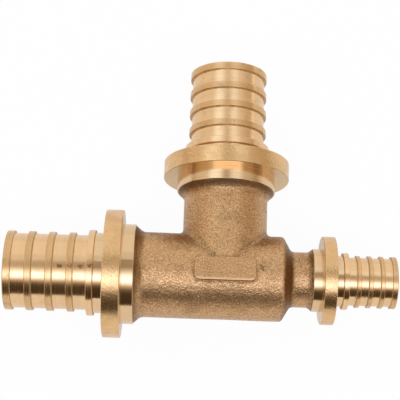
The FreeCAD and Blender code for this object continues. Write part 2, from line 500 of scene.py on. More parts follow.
def spots_group() -> bpy.types.NodeTree:
    """Group that draws the row of small brown spots along the top of the inlet's spigot.

    Returns:
        Group with input Place, in millimetres, and output Spot.
    """
    row, first_spot, radians_per_mm = -0.9, -35.9, 2.28
    sheet = Effect("corroded spots", {"Place": None})
    place = sheet.given[0]
    x, y, z = sheet.split(place)
    off = sheet.math("ABSOLUTE", sheet.math("SUBTRACT", y, row), label="off the row")
    band, top = sheet.ramp(off, 0.8, 0.2), sheet.ramp(z, 0.0, 3.0, "upper side only")
    left, right = sheet.ramp(x, -45.4, -44.6), sheet.ramp(x, -34.6, -35.2)
    turns = sheet.share(sheet.math("SUBTRACT", x, first_spot), radians_per_mm, "four in the row")
    swell = sheet.share(sheet.math("COSINE", turns), 0.16)
    blots = sheet.math("ADD", sheet.noise(place, 1.7, 2.0, "blots"), swell)
    spots = sheet.ramp(blots, 0.5, 0.64, "blots only")
    return sheet.give(Spot=sheet.math("MULTIPLY", spots, left, right, band, top))


@dataclass(frozen=True)
class Effects:
    """The groups that the finishes share, each built once."""

    lines: bpy.types.NodeTree = field(default_factory=turning_marks_group)
    tarnish: bpy.types.NodeTree = field(default_factory=tarnish_group)
    hatch: bpy.types.NodeTree = field(default_factory=hatch_group)
    spots: bpy.types.NodeTree = field(default_factory=spots_group)
    sand: bpy.types.NodeTree = field(default_factory=sand_grain_group)
    blemish: bpy.types.NodeTree = field(default_factory=blemish_group)


class BrassSheet(Sheet):
    """Node sheet of one brass material, with the places and the shader that every finish shares."""

    def __init__(self, name: str) -> None:
        """Start a material.

        Args:
            name: Name of the material.
        """
        self.material = bpy.data.materials.new(name)
        self.material.use_nodes = True
        super().__init__(self.material.node_tree)
        place = self.add("ShaderNodeTexCoord").outputs["Object"]
        self.place = self.vector("SCALE", {0: place, "Scale": 1 / MM}, "Vector", "millimetres")

    def effect(self, group: bpy.types.NodeTree, **feeds: Feed) -> Sequence[Socket]:
        """Place a shared group, with sockets or numbers for its inputs, and return its outputs."""
        return self.add("ShaderNodeGroup", group.name, feeds, node_tree=group).outputs

    def turned_places(self, line: Line, second: Optional[str] = None) -> dict[str, Socket]:
        """Places on a turned surface.

        Args:
            line: Axis that it is turned about.
            second: Across for the distance from the axis, Around for the length of arc, or nothing.

        Returns:
            Sockets of the place along the axis and of the second, by name.
        """
        x, y, z = self.split(self.place)
        ahead, side, square = (x, y, (0, 1, 1)) if line is Line.RUN else (y, x, (1, 0, 1))
        places = {"Along": ahead}
        if second:
            flat = self.vector("MULTIPLY", {0: self.place, 1: square}, "Vector", "square to the axis")
            places[second] = self.vector("LENGTH", {0: flat}, "Value", "distance from the axis")
        if second == "Around":
            angle = self.math("ARCTAN2", side, z, label="angle round the axis")
            places[second] = self.math("MULTIPLY", angle, places[second], label="arc")
        return places

    def finish(self, colour: Socket, rough: Socket, height: Socket, depth: float) -> bpy.types.Material:
        """Close the material with a metal shader.

        Args:
            colour: Base colour.
            rough: Roughness.
            height: Relief, 0 to 1.
            depth: Depth of the relief, in millimetres.

        Returns:
            The material.
        """
        relief = {"Height": height, "Strength": 1.0, "Distance": depth * MM}
        normal = self.add("ShaderNodeBump", "relief", relief).outputs[0]
        feeds = {"Base Color": colour, "Roughness": rough, "Normal": normal, "Metallic": 1.0}
        self.close(self.add("ShaderNodeBsdfPrincipled", feeds=feeds))
        return self.material


# Linear colours: clean brass by finish, then stains, a painted highlight, the low spots and painted
# shade.
CLEAN = (0.77, 0.525, 0.295)
LAND = (0.84, 0.55, 0.295)
CREST = (0.74, 0.455, 0.218)
RIM = (0.80, 0.50, 0.237)
BACK = (0.74, 0.52, 0.27)
SHADED_STEP = (0.64, 0.43, 0.20)
CAST = (0.69, 0.404, 0.194)
RUBBED = (0.78, 0.48, 0.245)
WORN = (0.65, 0.425, 0.225)
BROWN = (0.40, 0.245, 0.115)
SPOT = (0.40, 0.20, 0.10)
LOW_SPOT_AND_SHADE = (0.24, 0.132, 0.055)
DARKEST_TONE = (0.15, 0.08, 0.034)


@dataclass(frozen=True)
class TurnedFinish:
    """What every finish of a turned surface has.

    Args:
        name: Name of the material.
        line: Axis that the surface is turned about.
        colour: Base colour, linear.
        stain: Colour under tarnish, linear.
        roughness: Mean roughness.
        fineness: Tool lines or strokes per millimetre.
        depth: Depth of the lines or strokes, in millimetres.
    """

    name: str
    line: Line
    colour: Tone
    stain: Tone
    roughness: float
    fineness: float
    depth: float


@dataclass(frozen=True)
class TurnedBrass(TurnedFinish):
    """Machined brass with the tool's lines round the axis.

    Args:
        contrast: How much the lines show, 0 to 1.
        cover: Share of the surface under tarnish, 0 to 1.
        rings: Whether the lines also ring the faces square to the axis.
    """

    contrast: float
    cover: float
    rings: bool = False

    def material(self, shared: Effects) -> bpy.types.Material:
        """Build the material from the turning marks, tarnish and corroded spots.

        Args:
            shared: The shared groups.

        Returns:
            The material.
        """
        sheet = BrassSheet(self.name)
        places = sheet.turned_places(self.line, "Across" if self.rings else None)
        marks = sheet.effect(shared.lines, **places, Fineness=self.fineness)
        corroded = sheet.effect(shared.spots, Place=sheet.place)["Spot"]
        patches = sheet.effect(shared.tarnish, Place=sheet.place, Size=0.35, Cover=self.cover)
        line = sheet.ramp(marks["Height"], 0.42, 0.62, "single lines")
        band = sheet.share(sheet.ramp(marks["Tone"], 0.4, 0.6, "bands of tone"), 0.2)
        lined = sheet.math("ADD", band, sheet.share(line, self.contrast))
        dull = sheet.math("MAXIMUM", lined, sheet.share(patches["Patch"], 0.6), patches["Speck"])
        colour = sheet.tint(dull, self.colour, self.stain, "clean to tarnished")
        colour = sheet.tint(corroded, colour, SPOT, "corroded")
        scatter = sheet.share(line, 0.5 * self.contrast)
        rough = sheet.math("ADD", scatter, sheet.share(dull, 0.1), self.roughness,
                           label="duller where lined or tarnished")
        return sheet.finish(colour, rough, marks["Height"], self.depth)


@dataclass(frozen=True)
class BrushedRim(TurnedFinish):
    """Brass rim, brushed and lightly dented."""

    def material(self, shared: Effects) -> bpy.types.Material:
        """Build the material from the brushed hatch and tarnish.

        Args:
            shared: The shared groups.

        Returns:
            The material.
        """
        sheet = BrassSheet(self.name)
        places = sheet.turned_places(self.line, "Around")
        strokes = sheet.effect(shared.hatch, **places, Fineness=self.fineness)
        specks = sheet.effect(shared.tarnish, Place=sheet.place, Size=0.5, Cover=0.4)["Speck"]
        soft = sheet.share(sheet.ramp(strokes["Tone"], 0.35, 0.65), 0.22)
        low = sheet.share(sheet.ramp(strokes["Height"], 0.66, 0.4, "low strokes"), 0.36)
        dirty = sheet.math("MAXIMUM", soft, low, specks)
        colour = sheet.tint(dirty, self.colour, self.stain, "clean to tarnished")
        rough = sheet.math("ADD", sheet.share(dirty, 0.2), self.roughness)
        return sheet.finish(colour, rough, strokes["Height"], self.depth)


@dataclass(frozen=True)
class CastBrass:
    """Brass as it comes out of the sand mould, darker where shade is painted at its points.

    Args:
        name: Name of the material.
        colour: Base colour of the high spots, linear.
        hollow: Base colour of the low spots and of the painted shade, linear.
        darkest: Base colour of the darkest tone, where painted shade, patches and grain add up most,
            linear.
        roughness: Mean roughness.
        grain: Grains per millimetre.
        depth: Depth of the grain, in millimetres.
    """

    name: str
    colour: Tone
    hollow: Tone
    darkest: Tone
    roughness: float
    grain: float
    depth: float

    def material(self, shared: Effects) -> bpy.types.Material:
        """Build the material from the sand grain, tarnish, blemish and painted shade.

        Args:
            shared: The shared groups.

        Returns:
            The material.
        """
        sheet = BrassSheet(self.name)
        grains = sheet.effect(shared.sand, Place=sheet.place, Grain=self.grain)
        patches = sheet.effect(shared.tarnish, Place=sheet.place, Size=0.16, Cover=0.45)
        flaws = sheet.effect(shared.blemish, Place=sheet.place)
        dirt = sheet.add("ShaderNodeAttribute", "dirt", attribute_name=SHADE_LAYER).outputs["Fac"]
        flaw = sheet.math("MAXIMUM", flaws["Crease"], flaws["Rough"])
        pits, patch = sheet.share(grains["Pit"], 0.62), sheet.share(patches["Patch"], 0.25)
        mask = sheet.math("ADD", pits, patch, label="grain and patches")
        mask = sheet.math("MAXIMUM", mask, sheet.share(patches["Speck"], 0.6))
        # The painted shade at the points darkens the colour towards the low spots' tone.
        mask = sheet.math("MINIMUM", sheet.math("ADD", mask, dirt, sheet.share(flaw, 0.6)), 1.0)
        colour = sheet.tint(mask, self.colour, self.hollow, "high to low spots")
        # The darkest tone goes where painted shade, tarnish patches and grain add up most.
        darkness = sheet.math("ADD", dirt, sheet.share(patches["Patch"], 0.6), grains["Pit"])
        darkness = sheet.ramp(darkness, 1.4, 2.7, "beside the branch's collar")
        colour = sheet.tint(darkness, colour, self.darkest, "deepest_tone")
        rough = sheet.math("ADD", sheet.share(mask, 0.18), self.roughness)
        height = sheet.math("SUBTRACT", grains["Height"], sheet.share(flaw, 0.8))
        return sheet.finish(colour, rough, height, self.depth)


def brass_finishes() -> list[bpy.types.Material]:
    """Build every finish.

    Returns:
        Materials in the order of the Surface values.
    """
    cast = CastBrass("sand-cast brass", CAST, LOW_SPOT_AND_SHADE, DARKEST_TONE, roughness=0.26, grain=2.8, depth=0.105)
    finishes: list[Union[CastBrass, TurnedBrass, BrushedRim]] = [cast]
    for line, lines, depth in ((Line.RUN, 3.0, 0.006), (Line.BRANCH, 7.0, 0.02)):
        word = line.name.lower()
        finishes += [
            TurnedBrass(f"smooth collar, {word}", line, CLEAN, WORN, roughness=0.1,
                        fineness=lines, depth=depth, contrast=0.12, cover=0.15, rings=True),
            TurnedBrass(f"turned land, {word}", line, LAND, WORN, roughness=0.13,
                        fineness=3.2, depth=0.005, contrast=0.15, cover=0.4),
            TurnedBrass(f"worn crest, {word}", line, CREST, BROWN, roughness=0.19,
                        fineness=2.6, depth=0.01, contrast=0.18, cover=0.3),
            BrushedRim(f"flange rim, {word}", line, RIM, BROWN, roughness=0.21,
                       fineness=2.2, depth=0.036),
            TurnedBrass(f"flange back, {word}", line, BACK, WORN, roughness=0.2,
                        fineness=6.0, depth=0.03, contrast=0.2, cover=0.25, rings=True),
        ]
    finishes += [
        # Painted shade: the steps and the ribs' steep flanks take a darker, browner colour.
        TurnedBrass("step in painted shade", Line.RUN, SHADED_STEP, BROWN, roughness=0.3,
                    fineness=3.0, depth=0.01, contrast=0.3, cover=0.4),
        TurnedBrass("drilled bore", Line.RUN, WORN, BROWN, roughness=0.3,
                    fineness=3.0, depth=0.02, contrast=0.3, cover=0.5),
        # Painted highlight: a paler brass for the pad's lower front bevel.
        CastBrass("rubbed edge of the pad", RUBBED, CAST, DARKEST_TONE, roughness=0.3, grain=2.8, depth=0.05),
    ]
    shared = Effects()
    return [finish.material(shared) for finish in finishes]


def rib_tree() -> bpy.types.NodeTree:
    """Geometry Nodes tree that sets copies of one rib along the axis.

    Returns:
        Tree with inputs Geometry, Count, Pitch, Flank and Crest.
    """
    tree = bpy.data.node_groups.new("ribs along a spigot", "GeometryNodeTree")
    for key, side, kind in (
        ("Geometry", "INPUT", "Geometry"), ("Count", "INPUT", "Int"), ("Pitch", "INPUT", "Float"),
        ("Flank", "INPUT", "Material"), ("Crest", "INPUT", "Material"),
        ("Geometry", "OUTPUT", "Geometry"),
    ):
        tree.interface.new_socket(key, in_out=side, socket_type=f"NodeSocket{kind}")
    sheet = Sheet(tree)
    given = sheet.add("NodeGroupInput").outputs
    feeds = {"Count": given["Count"], "Offset": sheet.combine(X=given["Pitch"])}
    row = sheet.add("GeometryNodeMeshLine", "places along the axis", feeds, mode="OFFSET")
    feeds = {"Points": row.outputs["Mesh"], "Instance": given["Geometry"]}
    copies = sheet.add("GeometryNodeInstanceOnPoints", "one rib at each place", feeds)
    real = sheet.add("GeometryNodeRealizeInstances", feeds={"Geometry": copies.outputs["Instances"]})
    feeds = {"Geometry": real.outputs["Geometry"], "Material": given["Flank"]}
    flank = sheet.add("GeometryNodeSetMaterial", "flanks", feeds)
    feeds = {"Name": CREST_FACES}
    worn = sheet.add("GeometryNodeInputNamedAttribute", "crest faces", feeds, data_type="BOOLEAN").outputs
    chosen, before = worn["Attribute"], flank.outputs["Geometry"]
    feeds = {"Geometry": before, "Selection": chosen, "Material": given["Crest"]}
    crest = sheet.add("GeometryNodeSetMaterial", "crests", feeds)
    sheet.add("NodeGroupOutput", feeds={"Geometry": crest.outputs["Geometry"]})
    return tree


@dataclass(frozen=True)
class BarbedEnd:
    """One machined end of the tee: collar, flange, neck, stop rib, ribs and mouth.

    Lengths run from the crossing outwards, in millimetres.
    """

    name: str
    axis: Axis
    reach: float
    bore: float
    groove: float
    rib: float
    stop_rib: float
    neck: float
    flange: float
    collar: float
    collar_length: float
    flange_length: float
    neck_length: float
    stop_rib_length: float
    stop_gap: float
    rib_length: float
    groove_length: float
    mouth_rib_length: float
    edge: float
    burr: float = 0.0
    root: float = 0.04
    rib_count: int = 3
    rib_margin: float = 0.25
    crest_fall: float = 0.02
    mouth_round: float = 0.08
    lead_slope: float = 75.0

    def surface(self, kind: str) -> Surface:
        """Finish of that kind on this end's axis."""
        return Surface[f"{kind}_{self.axis.line().name}"]

    def first_rib(self) -> float:
        """Where the rib nearest the flange starts."""
        return self.reach + self.neck_length + self.stop_rib_length + self.stop_gap

    def pitch(self) -> float:
        """Distance from rib to rib."""
        return self.rib_length + self.groove_length

    def mouth(self) -> float:
        """Where the end stops."""
        return self.first_rib() + self.rib_count * self.pitch() + self.mouth_rib_length

    def collar_back(self) -> float:
        """Where the machined collar starts."""
        return self.reach - self.flange_length - self.collar_length

    def lead(self) -> float:
        """Length of the slope that leads the pipe over a rib."""
        return (self.rib - self.groove) / math.tan(math.radians(self.lead_slope))

    def rib_outline(self) -> list[Corner]:
        """Lay out the first rib.

        Returns:
            Corners from just before its step to the foot of its slope.
        """
        start = self.first_rib()
        end = start + self.rib_length
        land, crest = self.surface("LAND"), self.surface("CREST")
        return [
            Corner(start - self.rib_margin, self.groove, 0.0, land),
            Corner(start, self.groove, self.edge, Surface.STEP),
            Corner(start, self.rib, 0.8 * self.edge, crest),
            Corner(end - self.lead(), self.rib - self.crest_fall, 1.2 * self.edge, crest),
            Corner(end, self.groove, 0.0, land),
        ]

    def wall_outline(self) -> list[Corner]:
        """Lay out everything but the ribs.

        Returns:
            Corners as a loop that ends inside the bore.
        """
        land, collar = self.surface("LAND"), self.surface("COLLAR")
        rim, back, crest = self.surface("RIM"), self.surface("BACK"), self.surface("CREST")
        flange_back = self.reach - self.flange_length
        stop = self.reach + self.neck_length
        stop_end = stop + self.stop_rib_length
        last = self.mouth() - self.mouth_rib_length
        corners = [
            Corner(self.collar_back(), self.bore, 0.0, collar),
            Corner(self.collar_back(), self.collar, 1.5 * self.edge, collar),
            Corner(flange_back, self.collar, self.root, back),
        ]
        if self.burr:
            corners += [
                Corner(flange_back, self.flange - self.burr, 0.0, Surface.STEP),
                Corner(flange_back + self.burr, self.flange, self.edge, rim),
            ]
        else:
            corners.append(Corner(flange_back, self.flange, 2.5 * self.edge, rim))
        corners += [
            Corner(self.reach, self.flange, 2 * self.edge, collar),
            Corner(self.reach, self.neck, 1.5 * self.edge, collar),
            Corner(stop, self.neck, self.edge, Surface.STEP),
            Corner(stop, self.stop_rib, 1.6 * self.edge, land),
            Corner(stop_end, self.stop_rib, 1.2 * self.edge, land),
            Corner(stop_end, self.groove, self.edge, land),
        ]
        for i in range(self.rib_count):
            start = self.first_rib() + i * self.pitch()
            corners.append(Corner(start - self.rib_margin, self.groove, 0.0, None))
            corners.append(Corner(start + self.rib_length, self.groove, 0.0, land))
        corners += [
            Corner(last, self.groove, self.edge, Surface.STEP),
            Corner(last, self.rib, 0.8 * self.edge, crest),
            Corner(self.mouth() - self.lead(), self.rib - self.crest_fall, 2 * self.edge, crest),
            Corner(self.mouth(), self.groove, self.mouth_round, collar),
            Corner(self.mouth(), self.bore, 3 * self.edge, Surface.BORE),
        ]
        return corners

    def build(self, tree: bpy.types.NodeTree, materials: Materials) -> bpy.types.Object:
        """Turn the wall, set the ribs on it and bring both into the part's frame.

        Args:
            tree: The Geometry Nodes tree that repeats the rib.
            materials: Finishes in slot order.

        Returns:
            The end as one closed mesh.
        """
        rib = turn(self.rib_outline(), closed=False)
        crest = self.surface("CREST").value
        layer = rib.faces.layers.bool.new(CREST_FACES)
        for face in rib.faces:
            face[layer] = face.material_index == crest
            face.material_index = 0
        row = new_object(f"{self.name}_ribs", rib, ())
        modifier = row.modifiers.new("ribs", "NODES")
        modifier.node_group = tree
        values = {
            "Count": self.rib_count,
            "Pitch": self.pitch(),
            "Flank": materials[Surface.STEP.value],
            "Crest": materials[crest],
        }
        for item in tree.interface.items_tree:
            if item.in_out == "INPUT" and item.name in values:
                modifier[item.identifier] = values[item.name]
        dressed = row.evaluated_get(bpy.context.evaluated_depsgraph_get())
        ribs = bpy.data.meshes.new_from_object(dressed)
        row.modifiers.remove(modifier)
        bpy.data.objects.remove(row)
        slots = [materials.index(used) if used in materials else 0 for used in ribs.materials]
        wall = turn(self.wall_outline(), closed=True)
        before = len(wall.faces)
        wall.from_mesh(ribs)
        wall.faces.ensure_lookup_table()
        for face in wall.faces[before:]:
            face.material_index = slots[face.material_index]
            face.smooth = True
        bpy.data.meshes.remove(ribs)
        bmesh.ops.remove_doubles(wall, verts=wall.verts, dist=WELD)
        bmesh.ops.recalc_face_normals(wall, faces=wall.faces)
        keep_crisp(wall)
        place = self.axis.matrix() @ Matrix.Scale(MM, 4)
        bmesh.ops.transform(wall, matrix=place, verts=wall.verts)
        made = new_object(self.name, wall, materials)
        log.info("%s: %d faces", self.name, len(made.data.polygons))
        return made


def rise(value: np.ndarray, low: float, high: float) -> np.ndarray:
    """Share that goes evenly from 0 at low to 1 at high."""
    return np.clip((value - low) / (high - low), 0, 1)


def surface_net(skin: Callable[[np.ndarray], np.ndarray], low: Sequence[float],
                high: Sequence[float], step: float) -> tuple[np.ndarray, np.ndarray]:
    """Mesh the skin where a field changes sign, with one point per cell of a grid.

    Args:
        skin: Signed distance of points given as rows, negative inside.
        low: Lowest corner of the grid.
        high: Highest corner of the grid.
        step: Size of a cell.

    Returns:
        Points and four-sided faces with outward order.
    """
    axes = [np.arange(low[k], high[k] + step, step) for k in range(3)]
    shape = tuple(len(a) for a in axes)
    grid = np.stack(np.meshgrid(*axes, indexing="ij"), axis=-1)
    values = skin(grid.reshape(-1, 3)).reshape(shape)
    cells = tuple(n - 1 for n in shape)
    total = np.zeros((*cells, 3))
    hits = np.zeros(cells)
    corners = [(i, j, k) for i in (0, 1) for j in (0, 1) for k in (0, 1)]
    for a in corners:
        for b in corners:
            if sum(b) - sum(a) != 1 or any(q < p for p, q in zip(a, b)):
                continue
            first, second = (values[tuple(slice(s, s + n) for s, n in zip(c, cells))] for c in (a, b))
            crossing = (first < 0) != (second < 0)
            share = np.where(crossing, first / np.where(crossing, first - second, 1), 0)
            for k in range(3):
                total[..., k] += np.where(crossing, a[k] + share * (b[k] - a[k]), 0)
            hits += crossing
    used = hits > 0
    number = -np.ones(cells, dtype=int)
    number[used] = np.arange(used.sum())
    corner = np.stack(np.nonzero(used), axis=-1)
    points = np.array(low) + step * (corner + total[used] / hits[used][:, None])
    faces = []
    for k in range(3):
        first = np.take(values, range(shape[k] - 1), axis=k)
        second = np.take(values, range(1, shape[k]), axis=k)
        place = np.stack(np.nonzero((first < 0) != (second < 0)), axis=-1)
        u, v = (k + 1) % 3, (k + 2) % 3
        across, up = place[:, u], place[:, v]
        place = place[(across > 0) & (up > 0) & (across < cells[u]) & (up < cells[v])]
        inside = first[tuple(place.T)] < 0
        ring = []
        for du, dv in ((0, 0), (-1, 0), (-1, -1), (0, -1)):
            cell = place.copy()
            cell[:, u] += du
            cell[:, v] += dv
            ring.append(number[tuple(cell.T)])
        ring = np.stack(ring, axis=-1)
        faces.append(np.where(inside[:, None], ring, ring[:, ::-1]))
    return points, np.concatenate(faces)


@dataclass(frozen=True)
class CastBody:
    """Cast barrels, shoulder, flares and pad, with the water way inside.

    Lengths are in millimetres from the crossing of the axes.
    """

    name: str
    run: float = 11.65
    branch: float = 11.6
    reduced: float = 7.6
    shoulder_reach: float = 15.9
    shoulder_end: float = 18.24
    reduced_end: float = 22.99
    large_collar: float = 13.65
    small_collar: float = 8.6
    inlet_back: float = 24.4
    branch_back: float = 24.2
    outlet_back: float = 23.99
    large_bore: float = 8.52
    small_bore: float = 5.12
    cone_start: float = 11.5
    cone_end: float = 13.46
    large_lip: float = 0.3
    small_lip: float = 0.15
    flare_round: float = 2.2
    shoulder_round: float = 1.1
    foot_round: float = 1.4
    neck_round: float = 1.6
    branch_foot: float = 1.0
    junction: float = 1.3
    fillet_start: float = 2.0
    fillet_reach: float = 13.0
    hidden: float = 0.9
    cell: float = 0.42
    waviness: float = 0.035
    hollow_dirt: float = 0.35
    corner_dirt: float = 0.38
    foot_dirt: float = 0.64
    collar_dirt: float = 0.75
    gutter_dirt: float = 0.55
    pad_length: float = 16.6
    pad_width: float = 6.4
    pad_offset: float = -0.3
    pad_rise: float = 0.15
    pad_corner: float = 1.4
    pad_edge: float = 0.16
    pad_bevel: float = 0.55
    pad_drop: float = 0.07

    def run_outline(self) -> list[Corner]:
        """Outer outline of the run from inlet to outlet."""
        return [
            Corner(-self.inlet_back - self.hidden, self.large_collar - self.large_lip),
            Corner(-self.inlet_back, self.large_collar - self.large_lip),
            Corner(-self.inlet_back + self.large_collar - self.run, self.run, self.flare_round),
            Corner(self.shoulder_reach, self.run, self.shoulder_round),
            Corner(self.shoulder_end, self.reduced, self.foot_round),
            Corner(self.reduced_end, self.reduced, self.neck_round),
            Corner(self.outlet_back, self.small_collar - self.small_lip),
            Corner(self.outlet_back + self.hidden, self.small_collar - self.small_lip),
        ]

    def branch_outline(self) -> list[Corner]:
        """Outer outline of the branch from the crossing to its collar."""
        return [
            Corner(-2 * self.branch_foot, self.branch),
            Corner(self.branch_back - self.large_collar + self.branch, self.branch, self.flare_round),
            Corner(self.branch_back, self.large_collar - self.large_lip),
            Corner(self.branch_back + self.hidden, self.large_collar - self.large_lip),
        ]

    @staticmethod
    def barrel(along: np.ndarray, across: np.ndarray, corners: Sequence[Corner]) -> np.ndarray:
        """Distance from a turned barrel, judged square to its outline.

        Args:
            along: Place along the axis.
            across: Distance from the axis.
            corners: Outline of the barrel.

        Returns:
            Signed distances, negative inside.
        """
        points, _ = outline(corners, closed=False)
        probe = 0.05
        before, radius, after = (np.interp(along + step, *points.T) for step in (-probe, 0.0, probe))
        slope = (after - before) / (2 * probe)
        return (across - radius) / np.sqrt(1 + slope**2)

    def bore(self, x: np.ndarray) -> np.ndarray:
        """Radius of the run's water way, which narrows in a cone."""
        return np.interp(x, (self.cone_start, self.cone_end), (self.large_bore, self.small_bore))

    def field(self, p: np.ndarray) -> np.ndarray:
        """Measure how far points lie from the casting's skin.

        Args:
            p: Points as rows.

        Returns:
            Signed distances, negative inside the metal.
        """
        x, y, z = p.T
        run = self.barrel(x, np.hypot(y, z), self.run_outline())
        ends = np.maximum(-x - self.inlet_back, x - self.outlet_back) - self.hidden
        run = np.maximum(run, ends)
        branch = self.barrel(y, np.hypot(x, z), self.branch_outline())
        ends = np.maximum(-y - self.branch_foot, y - self.branch_back - self.hidden)
        branch = np.maximum(branch, ends)
        fillet = (np.hypot(x, y) - self.fillet_start) / self.fillet_reach
        fillet = self.junction * np.clip(fillet, 0.02, 1)
        near = np.hypot(np.maximum(fillet - run, 0), np.maximum(fillet - branch, 0))
        body = np.maximum(fillet, np.minimum(run, branch)) - near
        wave = np.sin(0.31 * x + 1.3) * np.sin(0.27 * y + 0.4 * z)
        wave = wave + np.sin(0.43 * z + 0.9 + 0.2 * x) * np.cos(0.37 * y)
        body = body + self.waviness * wave
        up_bore = np.maximum(np.hypot(x, z) - self.large_bore, -y)
        water = np.minimum(np.hypot(y, z) - self.bore(x), up_bore)
        return np.maximum(body, -water)

    def casting(self) -> bmesh.types.BMesh:
        """Mesh the casting and pull its points onto its skin.

        Returns:
            Mesh in millimetres, with the painted shade at each point.
        """
        low = (-self.inlet_back - 2, -self.large_collar - 1, -self.large_collar - 1)
        high = (self.outlet_back + 2, self.branch_back + 2, self.large_collar + 1)
        points, faces = surface_net(self.field, low, high, self.cell)
        probe, limit = 0.02, 0.3 * self.cell
        for _ in range(3):
            rises = [self.field(points + s) - self.field(points - s) for s in probe * np.eye(3)]
            slope = np.stack(rises, axis=-1) / (2 * probe)
            size = np.maximum((slope**2).sum(axis=1), 0.25)
            move = -(self.field(points) / size)[:, None] * slope
            points = points + np.clip(move, -limit, limit)
        mesh = bmesh.new()
        layer = mesh.verts.layers.float.new(SHADE_LAYER)
        verts = [mesh.verts.new(p) for p in points]
        for vert, share in zip(verts, self.dirt(points)):
            vert[layer] = share
        for quad in faces:
            face = mesh.faces.new([verts[i] for i in quad])
            face.smooth = True
            in_bore = self.is_bore(face.calc_center_median())
            face.material_index = (Surface.BORE if in_bore else Surface.CAST).value
        return mesh

    def dirt(self, points: np.ndarray) -> np.ndarray:
        """Paint shade into the colour in the hollows, round the pad, beside the branch and against the
        collars.

        Args:
            points: Points as rows.

        Returns:
            Painted shade from 0 to 1, and up to 2 in a darker band just under the branch's collar.
        """
        reach = 0.9
        bend = -6 * self.field(points)
        for step in reach * np.eye(3):
            bend = bend + self.field(points + step) + self.field(points - step)
        x, y, z = points.T
        # Painted shade: darker in the hollows, at the shoulder's foot, in a line round the pad that is
        # strongest on its front, on the run's upper back beside the branch, and against the collars.
        hollow = self.hollow_dirt * rise(-bend / reach**2, 0.05, 0.55)
        foot = self.foot_dirt * rise(np.abs(x - self.shoulder_end + 1.1), 1.9, 0.9)
        aside = np.abs(x) - self.pad_length / 2 + self.pad_corner
        below = np.abs(y - self.pad_offset) - self.pad_width / 2 + self.pad_corner
        off_pad = np.hypot(np.maximum(aside, 0), np.maximum(below, 0)) - self.pad_corner
        gutter = self.gutter_dirt * rise(np.abs(off_pad - 0.2), 0.63, 0.18) * (z > 8)
        gutter = gutter * np.clip(0.5 - 0.15 * y, 0.2, 1)
        corner = rise(y, 8.0, 11.0) * rise(y, 13.0, 11.5) * rise(np.abs(x), 9.0, 13.0)
        up_branch = y - self.branch_back
        back = np.maximum(np.maximum(-x - self.inlet_back, up_branch - 0.4), x - self.outlet_back - 0.5)
        collar = self.collar_dirt * rise(back, -2.4, -0.4) ** 2
        all_shade = hollow + self.corner_dirt * corner + foot + collar + gutter
        # A still darker band lies just under the branch's collar.
        return np.clip(all_shade, 0, 1) + rise(up_branch, -1.6, -0.2)

    def is_bore(self, point: Vector) -> bool:
        """Judge whether a point lies on the water way's wall.

        Args:
            point: The point.

        Returns:
            True on the wall.
        """
        run, branch, wall = math.hypot(point.y, point.z), math.hypot(point.x, point.z), 0.25
        if min(run, branch) >= self.large_bore + 0.1:
            return False
        on_branch = abs(branch - self.large_bore) < wall and point.y > 0
        return on_branch or abs(run - self.bore(point.x)) < wall

    def pad(self) -> bmesh.types.BMesh:
        """Make the plain raised pad on the upper side, a flat-topped prism with softened edges.

        Returns:
            Mesh in millimetres, with the painted shade at each point.
        """
        mesh = bmesh.new()
        x, r = self.pad_length / 2, self.pad_corner
        low, high = self.pad_offset - self.pad_width / 2, self.pad_offset + self.pad_width / 2
        rim = []
        corners = ((x - r, low + r), (x - r, high - r), (r - x, high - r), (r - x, low + r))
        for quarter, (cx, cy) in enumerate(corners):
            for k in range(9):
                a = math.radians(90 * (quarter - 1) + 90 * k / 8)
                rim.append((cx, cy, math.cos(a), math.sin(a)))
        top = self.run + self.pad_rise
        e = self.pad_edge
        brow = top - self.pad_drop
        levels = [(self.run - 2.4, 0.0), (brow - e - 0.1, 0.0)]
        for a in map(math.radians, (0, 22, 45, 68, 83)):
            levels.append((brow - e + e * math.sin(a), e - e * math.cos(a)))
        levels += [(top, e + self.pad_bevel), (top, e + self.pad_bevel + 0.15)]
        layer = mesh.verts.layers.float.new(SHADE_LAYER)
        rings = []
        for number, (z, inset) in enumerate(levels):
            s = r - inset
            rings.append([mesh.verts.new((cx + s * ux, cy + s * uy, z)) for cx, cy, ux, uy in rim])
            # Painted shadow on the pad's wall, fading towards its top edge.
            for vert in rings[-1]:
                vert[layer] = max(0.0, 1.0 - 0.22 * max(0, number - 1))
        mesh.faces.new(rings[-1])
        mesh.faces.new(rings[0][::-1])
        bevel = len(levels) - 3
        for number, (lower, upper) in enumerate(zip(rings, rings[1:])):
            for i in range(len(rim)):
                j = (i + 1) % len(rim)
                face = mesh.faces.new((lower[i], lower[j], upper[j], upper[i]))
                # The pad's lower bevel, on its front, takes the paler colour of a painted highlight.
                highlighted = number == bevel and max(rim[i][3], rim[j][3]) < -0.6
                face.material_index = (Surface.RUBBED if highlighted else Surface.CAST).value
        for face in mesh.faces:
            face.smooth = True
        return mesh

    def build(self, materials: Materials) -> list[bpy.types.Object]:
        """Mesh the casting and its pad.

        Args:
            materials: Finishes in slot order.

        Returns:
            The casting and the pad, both closed.
        """
        made = []
        for name, mesh in ((self.name, self.casting()), (f"{self.name}_pad", self.pad())):
            bmesh.ops.recalc_face_normals(mesh, faces=mesh.faces)
            bmesh.ops.transform(mesh, matrix=Matrix.Scale(MM, 4), verts=mesh.verts)
            made.append(new_object(name, mesh, materials))
            log.info("%s: %d faces", name, len(made[-1].data.polygons))
        return made


